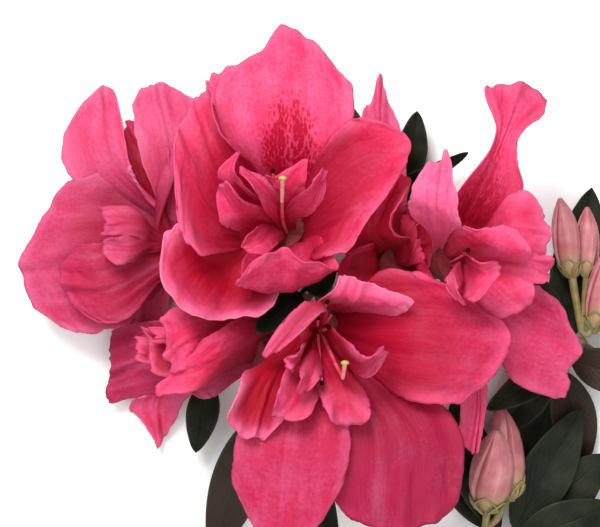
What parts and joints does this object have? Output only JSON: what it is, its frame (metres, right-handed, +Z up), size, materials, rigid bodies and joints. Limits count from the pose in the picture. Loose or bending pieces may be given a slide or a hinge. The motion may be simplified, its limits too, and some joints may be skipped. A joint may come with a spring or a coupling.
{
  "type": "cut azalea sprig in flower",
  "caption": "Cut flowering sprig of a double pink azalea: ruffled open blooms on short stalks, closed buds and dark oval leaves on a woody stem, lying on its back.",
  "frame": {"origin": "middle of the sprig's footprint, on the surface it lies on", "axes": "+Z up, out of the faces of the blooms; +Y from the cut end of the stem towards the topmost bloom; +X to the right of the topmost bloom seen from above"},
  "size_m": [0.1877, 0.1812, 0.0691],
  "materials": {
    "petal": "thin, soft and slightly satin petal tissue",
    "leaf": "dark, leathery, slightly glossy leaf",
    "bud": "matt closed bud with green scales",
    "bark": "thin rough bark"
  },
  "bodies": {
    "root": {"main_stem": "bark", "near_shoot": "bark", "far_shoot": "bark", "bloom_top": "petal", "bloom_front": "petal", "bloom_right": "petal", "bloom_far_left": "petal", "bloom_low_left": "petal", "bloom_behind": "petal", "upper_leaves": "leaf", "centre_leaves": "leaf", "lower_leaves": "leaf", "near_leaves": "leaf", "far_leaves": "leaf", "near_buds": "bud", "far_buds": "bud"}
  },
  "joints": []
}
